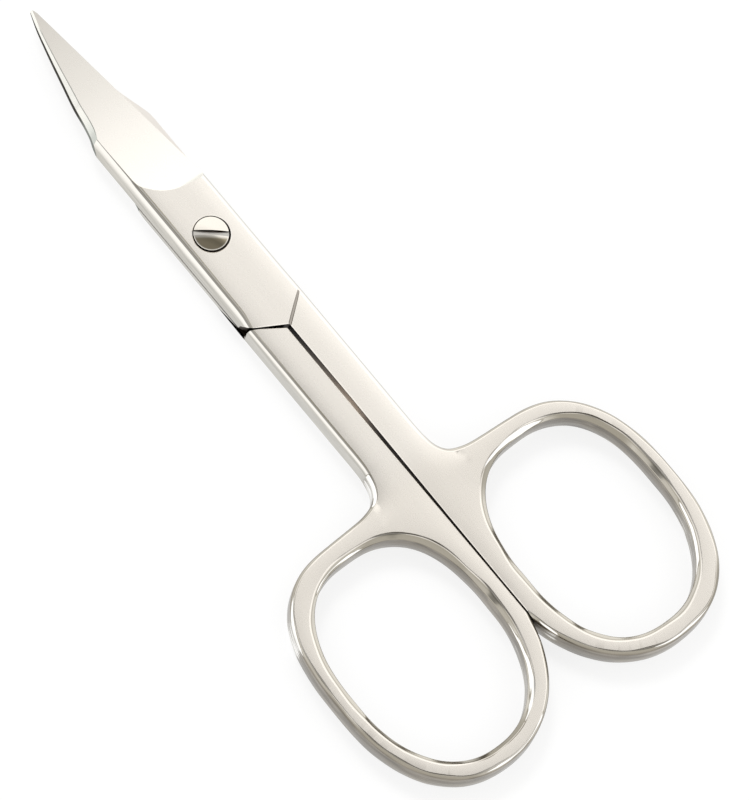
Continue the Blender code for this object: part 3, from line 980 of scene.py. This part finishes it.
def chamferCutter(form):
    # A slanting cut that follows the spine and runs out over the blade's corner
    spine = flowing(form["spine"], 6)
    first = Vector(spine[0]) - (Vector(spine[3]) - Vector(spine[0])).normalized() * 1.2
    last = Vector(spine[-1]) + (Vector(spine[-1]) - Vector(spine[-4])).normalized() * 1.2
    spine = evenly([tuple(first)] + spine + [tuple(last)], 0.35)
    rows = []
    for i, (x, y) in enumerate(spine):
        before = Vector(spine[max(0, i - 1)])
        after = Vector(spine[min(len(spine) - 1, i + 1)])
        run = (after - before).normalized()
        inwards = Vector((run.y, -run.x))
        inner = Vector((x, y)) + inwards * along(chamfer["reach"], y)
        high = groundHeight(form, inner.x, inner.y)
        row = []
        for reach in (-1.3, -0.7, -0.35, -chamfer["ease"], 0, 0.35, 0.7, 1.2):
            place = inner + inwards * reach
            fall = chamfer["easeSlope"] * max(reach, -chamfer["ease"])
            fall += along(chamfer["slope"], y) * min(0, reach + chamfer["ease"])
            row.append((place.x, place.y, high + fall))
        rows.append(row)
    return gridCutter("chamfer", rows, "chamfer")


groove = {"start": (-0.6, -12.95), "end": (3.5, -9.875), "width": 0.34, "floor": 0.2, "depth": 0.1}


def grooveCutter():
    # A scribed line across the face, in step with the shoulder
    start = Vector(groove["start"])
    end = Vector(groove["end"])
    run = (end - start).normalized()
    side = Vector((-run.y, run.x))
    high = steel["thickness"]
    half = groove["width"] / 2
    flat = groove["floor"] / 2
    profile = [(-half - 0.2, high + 0.3), (-half, high), (-flat, high - groove["depth"]),
               (flat, high - groove["depth"]), (half, high), (half + 0.2, high + 0.3)]
    verts = [(*(place + side * across), z) for place in (start, end) for across, z in profile]
    count = len(profile)
    return paintedCutter("groove", verts, bandFaces(0, count, 2) + endFaces(count, 2), "groove")


bore = {"radius": 1.25, "headRoom": 1.97, "headDepth": 0.7, "lip": 0.07, "aside": (0.01, -0.06)}
turnSteps = 96


def turned(name, profile, finishes, centre=(0, 0)):
    # A profile of radius and height turned right round
    turns = [2 * math.pi * i / turnSteps for i in range(turnSteps)]
    verts = [(centre[0] + radius * math.cos(turn), centre[1] + radius * math.sin(turn), height)
             for radius, height in profile for turn in turns]
    faces = bandFaces(0, turnSteps, len(profile)) + endFaces(turnSteps, len(profile))
    return paintedCutter(name, verts, faces, finishes)


def boreCutter(counterbored):
    # The edge of the hole is broken, and bright
    top = steel["thickness"]
    lip = top - bore["lip"]
    if not counterbored:
        profile = [(bore["radius"], -1), (bore["radius"], lip), (bore["radius"] + 1, top + 1)]
    else:
        floor = top - bore["headDepth"]
        profile = [(bore["radius"], -1), (bore["radius"], floor), (bore["headRoom"], floor),
                   (bore["headRoom"], lip), (bore["headRoom"] + 1.5, lip + 1)]
    finishes = ["recess"] * (turnSteps * (len(profile) - 2)) + ["satin"] * turnSteps + ["recess"] * 2
    return turned("bore", profile, finishes, bore["aside"] if counterbored else (0, 0))


def smoothFaces(piece, angle):
    # Smooth but for edges sharper than the angle, and where one finish meets another
    pick(piece)
    bpy.ops.object.shade_smooth_by_angle(angle=math.radians(angle))
    shape = bmesh.new()
    shape.from_mesh(piece.data)
    for edge in shape.edges:
        if len({face.material_index for face in edge.link_faces}) > 1:
            edge.smooth = False
    shape.to_mesh(piece.data)
    shape.free()
    finished(piece, "WEIGHTED_NORMAL", keep_sharp=True, weight=60)


def trueCrown(half, height):
    # The wide faces take the crown's own normals, so that no triangle of theirs shows
    mesh = half.data
    normals = [corner.vector.copy() for corner in mesh.corner_normals]
    step = crown["step"]
    slopes = {}
    for face in mesh.polygons:
        if face.material_index != slotOf["satin"] or abs(face.normal.z) < crown["flatness"]:
            continue
        way = 1 if face.normal.z > 0 else -1
        corners = [mesh.vertices[index].co for index in face.vertices]
        if any(abs((height(x, y) if way > 0 else steel["thickness"] - height(x, y)) - z) > crown["off"]
               for x, y, z in corners):
            continue
        for loop, index in zip(face.loop_indices, face.vertices):
            if index not in slopes:
                x, y, _ = mesh.vertices[index].co
                slopes[index] = ((height(x + step, y) - height(x - step, y)) / (2 * step),
                                 (height(x, y + step) - height(x, y - step)) / (2 * step))
            normals[loop] = Vector((-slopes[index][0], -slopes[index][1], way)).normalized()
    mesh.normals_split_custom_set(normals)


# Marks kept on the finished mesh: how far across the rim a place is, from the face (0) to the wall (1),
# polished flats that carry painted highlights and lines of painted shade on the rings, and painted deep
# shade at the shoulder. A flat has its rim, first and last degree, its place across the rim at both, and its
# widest half-width; a line of shade has its rim, first and last degree, and how dark it is. It fades out
# over a few degrees
marks = {"upperFlats": [("hole", 74, 113, 0.72, 0.12, 0.34), ("hole", 294, 342, 0.85, 0.5, 0.17),
                        ("hole", 292, 352, 1.2, 1.2, 0.17),
                        ("outer", 201, 215, 0.45, 0.8, 0.26), ("outer", 256, 288, 0.42, 0.62, 0.13)],
         "lowerFlats": [("hole", 66, 102, 0.55, 0.85, 0.16), ("hole", 200, 254, 0.85, 0.2, 0.24),
                        ("hole", 206, 250, 1.2, 1.2, 0.16),
                        ("outer", 37, 62, 0.9, 0.5, 0.24), ("outer", 110.5, 118, 0.6, 0.8, 0.4),
                        ("outer", 244, 280, 0.4, 0.6, 0.13)],
         "upperRimShade": [("hole", 0, 24, 0.45), ("hole", 26, 70, 1.0), ("hole", 98, 124, 0.8),
                          ("hole", 335, 360, 0.4), ("outer", 200, 262, 0.9), ("outer", 284, 306, 0.8)],
         "lowerRimShade": [("hole", 98, 158, 0.9), ("hole", 152, 200, 0.65), ("hole", 250, 284, 0.9),
                          ("outer", 0, 34, 0.5), ("outer", 60, 74, 0.4), ("outer", 104, 110, 1.0),
                          ("outer", 284, 350, 0.95)],
         "fade": 6, "ringsFrom": -29.5, "deepShadeReach": (0.3, 1.2)}


def windowShare(value, low, high, soft):
    return smoothStep(value, low - soft, low + soft) * (1 - smoothStep(value, high - soft, high + soft))


def flatShare(angle, across, flat):
    # A flat wanders across the rim from one end to the other, and tapers off at both
    _, low, high, first, last, widest = flat
    share = (angle - low) / (high - low)
    if share < -0.1 or share > 1.1:
        return 0
    middle = first + (last - first) * share
    half = 0.05 + (widest - 0.05) * max(0, 4 * share * (1 - share)) ** 0.75
    taper = min(1, max(0, 5 * min(share + 0.1, 1.1 - share)))
    return max(0, min(1, 1.6 - abs(across - middle) / half)) * taper


def paintMarks(half, form, upper):
    edges = {"outer": blankRim(form), "hole": holeRim(form)}
    lines = {name: RimDistance(edge, True) for name, edge in edges.items()}
    flats = marks["upperFlats" if upper else "lowerFlats"]
    rimShades = marks["upperRimShade" if upper else "lowerRimShade"]
    marked = {"across": [], "polishAndHighlight": [], "rimShade": [], "deepShade": []}
    for vert in half.data.vertices:
        x, y, _ = vert.co
        far = {name: line.to(x, y) for name, line in lines.items()}
        name = "hole" if far["hole"] < far["outer"] else "outer"
        px, py = edges[name][lines[name].nearest(x, y)]
        width = dressed(px, py, rimSize(px, py, name == "hole"))[0]
        angle = math.degrees(math.atan2(y + form["ringReach"], x - form["ringSide"])) % 360
        onRing = y < marks["ringsFrom"]
        across = 1 - far[name] / width
        polishAndHighlight = [flatShare(angle, across, flat) for flat in flats if flat[0] == name and onRing]
        rimShade = [deep * windowShare(angle, low, high, marks["fade"])
                   for rim, low, high, deep in rimShades if rim == name and onRing]
        marked["across"].append(across)
        marked["polishAndHighlight"].append(max(polishAndHighlight, default=0))
        marked["rimShade"].append(max(rimShade, default=0))
        marked["deepShade"].append(1 - smoothStep(math.hypot(x, y + shoulder["foot"]), *marks["deepShadeReach"]))
    for name, values in marked.items():
        layer = half.data.attributes.new(name, "FLOAT", "POINT")
        layer.data.foreach_set("value", values)


def toMetres(piece, turnedOver):
    # From millimetres round the hinge to its place in the frame
    place = Matrix.Scale(0.001, 4) @ Matrix.Translation(hinge)
    if turnedOver:
        place = place @ Matrix.Translation((0, 0, steel["thickness"])) @ Matrix.Rotation(math.pi, 4, "Y")
    piece.data.transform(place)
    piece.data.update()


def makeHalf(name, form, counterbored):
    height = crownOf(form)
    half = makeBlank(name, form, height)
    for material in halfFinishes.values():
        half.data.materials.append(material)
    cutAway(half, [lapEndCutter(form), pocketCutter(), trimCutter(form), grindCutter(form),
                   chamferCutter(form), boreCutter(counterbored)])
    cutAway(half, [grooveCutter()])
    smoothFaces(half, sharp["half"])
    trueCrown(half, height)
    paintMarks(half, form, counterbored)
    toMetres(half, not counterbored)
    print(name, len(half.data.polygons), "faces")
    return half


# The screw

def makeScrew():
    top = steel["thickness"] + screwForm["rimHeight"]
    radius = screwForm["headRadius"]
    soft = screwForm["softening"]
    inner = radius - soft
    under = top - screwForm["headDepth"]
    shaft = screwForm["shaft"]
    end = screwForm["endRecess"]
    profile = [(shaft - screwForm["endEase"], end), (shaft, end + screwForm["endEase"]), (shaft, under),
               (radius, under)]
    turns = [math.radians(15 * i) for i in range(7)]
    profile += [(inner + soft * math.cos(turn), top - soft + soft * math.sin(turn)) for turn in turns]
    reaches = [inner * (1 - i / 9) for i in range(1, 9)]
    profile += [(reach, top + screwForm["crown"] * (1 - (reach / inner) ** 2)) for reach in reaches]
    screw = turned("pivotScrew", profile, "satin")
    bpy.ops.mesh.primitive_cube_add(size=1, location=(0, 0, 0))
    slot = bpy.context.object
    slot.name = "slot"
    floor = top + screwForm["crown"] - screwForm["slotDepth"]
    slot.data.transform(Matrix.Diagonal((6, screwForm["slotWidth"], 2, 1)))
    slot.data.transform(Matrix.Rotation(math.radians(screwForm["slotTurn"]), 4, "Z")
                        @ Matrix.Translation((0, 0, floor + 1)))
    for piece in (screw, slot):
        piece.data.materials.clear()
        for material in screwFinishes.values():
            piece.data.materials.append(material)
    names = list(screwFinishes)
    for face in slot.data.polygons:
        face.material_index = names.index("slotFloor" if face.normal.z < -0.5 else "slotWall")
    cutAway(screw, [slot])
    finished(screw, "BEVEL", width=screwForm["edgeEase"], segments=2, limit_method="ANGLE",
             angle_limit=math.radians(sharp["bevelled"]), use_clamp_overlap=True)
    smoothFaces(screw, sharp["screw"])
    toMetres(screw, False)
    return screw


upperHalf = makeHalf("upperHalf", upperForm, True)
lowerHalf = makeHalf("lowerHalf", lowerForm, False)
pivotScrew = makeScrew()
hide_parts("upper_half")
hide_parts("lower_half")
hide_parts("pivot_screw")
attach(upperHalf, "upper")
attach(lowerHalf, "lower")
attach(pivotScrew, "lower")
print("pieces made")


# Camera, sky, lamp and table

def pictureAxes():
    # The picture's right and down on the table, and the way the camera leans with the way across it
    roll = math.radians(shot["roll"])
    lean = math.radians(shot["leanTo"])
    right = Vector((math.sin(roll), -math.cos(roll), 0))
    down = Vector((-math.cos(roll), -math.sin(roll), 0))
    return (right, down, right * math.cos(lean) + down * math.sin(lean),
            down * math.cos(lean) - right * math.sin(lean))


def makeCamera():
    right, down, towards, sideways = pictureAxes()
    tilt = math.radians(shot["tilt"])
    lean = math.radians(shot["leanTo"])
    up = Vector((0, 0, 1))
    leanAxis = towards * math.cos(tilt) - up * math.sin(tilt)
    back = towards * math.sin(tilt) + up * math.cos(tilt)
    cameraRight = leanAxis * math.cos(lean) - sideways * math.sin(lean)
    cameraDown = leanAxis * math.sin(lean) + sideways * math.cos(lean)
    aim = hinge - right * shot["shiftX"] - down * shot["shiftY"]
    data = bpy.data.cameras.new("camera")
    data.sensor_fit = "HORIZONTAL"
    data.sensor_width = shot["sensor"]
    data.lens = shot["sensor"] * shot["focalPixels"] / shot["pictureWidth"]
    data.clip_end = 20
    camera = bpy.data.objects.new("camera", data)
    bpy.context.scene.collection.objects.link(camera)
    axes = Matrix((cameraRight, -cameraDown, back)).transposed().to_4x4()
    axes.translation = (aim + back * shot["distance"]) * 0.001
    camera.matrix_world = axes
    bpy.context.scene.camera = camera


# How bright the room is, by degrees across the way the camera leans, and how far to the sides that reaches
sky = {"strength": 1.2, "sides": (0.58, 0.74),
       "levels": [(-90, 1.1), (-33, 1.08), (-22, 0.98), (-14, 0.46), (-9, 0.34), (3, 0.44), (14, 0.42),
                  (24, 0.22), (31, 0.4), (34, 0.95), (38, 1.0), (90, 1.0)]}
lamp = {"power": 4.0, "size": 0.35, "away": 0.7, "aside": 0.25, "high": 0.9}
paper = {"size": 3, "plain": 0.8, "shaded": 0.22, "glow": 0.78}


def makeSky():
    # White all round, with a darker room above and behind the camera
    _, _, towards, sideways = pictureAxes()
    world = bpy.data.worlds.new("softRoom")
    bpy.context.scene.world = world
    world.use_nodes = True
    tree = world.node_tree
    tree.nodes.clear()
    place = addNode(tree, "ShaderNodeTexCoord").outputs["Generated"]
    lean, up, aside = (vectors(tree, "DOT_PRODUCT", {0: place, 1: axis})
                       for axis in (towards, Vector((0, 0, 1)), sideways))
    quarter = math.radians(90)
    angle = ranged(tree, counted(tree, "ARCTAN2", lean, up), -quarter, quarter)
    room = blended(tree, angle, [((degrees + 90) / 180, (level, level * 0.995, level * 0.985, 1))
                                 for degrees, level in sky["levels"]], "EASE")
    colour = mixed(tree, spread(tree, absolute(tree, aside), *sky["sides"]), room, (1, 1, 1, 1))
    background = addNode(tree, "ShaderNodeBackground", None, {"Color": colour, "Strength": sky["strength"]})
    addNode(tree, "ShaderNodeOutputWorld", None, {"Surface": background.outputs[0]})


def makeTable():
    # White paper: plain to the steel, and to the camera pale with the scissors' shadow on it
    bpy.ops.object.select_all(action="DESELECT")
    bpy.ops.mesh.primitive_plane_add(size=paper["size"], location=(0, 0, 0))
    table = bpy.context.object
    table.name = "table"
    material = bpy.data.materials.new("whitePaper")
    material.use_nodes = True
    tree = material.node_tree
    tree.nodes.clear()
    plain, shaded = (addNode(tree, "ShaderNodeBsdfDiffuse", None, {"Color": (level, level, level, 1)})
                     for level in (paper["plain"], paper["shaded"]))
    glow = addNode(tree, "ShaderNodeEmission", None, {"Color": (1, 1, 1, 1), "Strength": paper["glow"]})
    white = addNode(tree, "ShaderNodeAddShader", None, {0: shaded.outputs[0], 1: glow.outputs[0]})
    path = addNode(tree, "ShaderNodeLightPath").outputs
    rays = [path["Is " + ray + " Ray"] for ray in ("Camera", "Glossy", "Transmission")]
    seen = counted(tree, "MAXIMUM", *rays)
    choose = addNode(tree, "ShaderNodeMixShader", None, {0: seen, 1: plain.outputs[0], 2: white.outputs[0]})
    addNode(tree, "ShaderNodeOutputMaterial", None, {"Surface": choose.outputs[0]})
    table.data.materials.append(material)


def makeLamp():
    # One broad lamp beyond the picture's top left, for the soft shadows
    right, down, _, _ = pictureAxes()
    data = bpy.data.lights.new("window", "AREA")
    data.shape = "DISK"
    data.size = lamp["size"]
    data.energy = lamp["power"]
    window = bpy.data.objects.new("window", data)
    bpy.context.scene.collection.objects.link(window)
    window.location = -down * lamp["away"] - right * lamp["aside"] + Vector((0, 0, lamp["high"]))
    window.rotation_euler = window.location.to_track_quat("Z", "Y").to_euler()
    window.visible_glossy = False


makeCamera()
makeSky()
makeTable()
makeLamp()
bpy.context.scene.view_settings.view_transform = "Standard"
print("camera and light set")
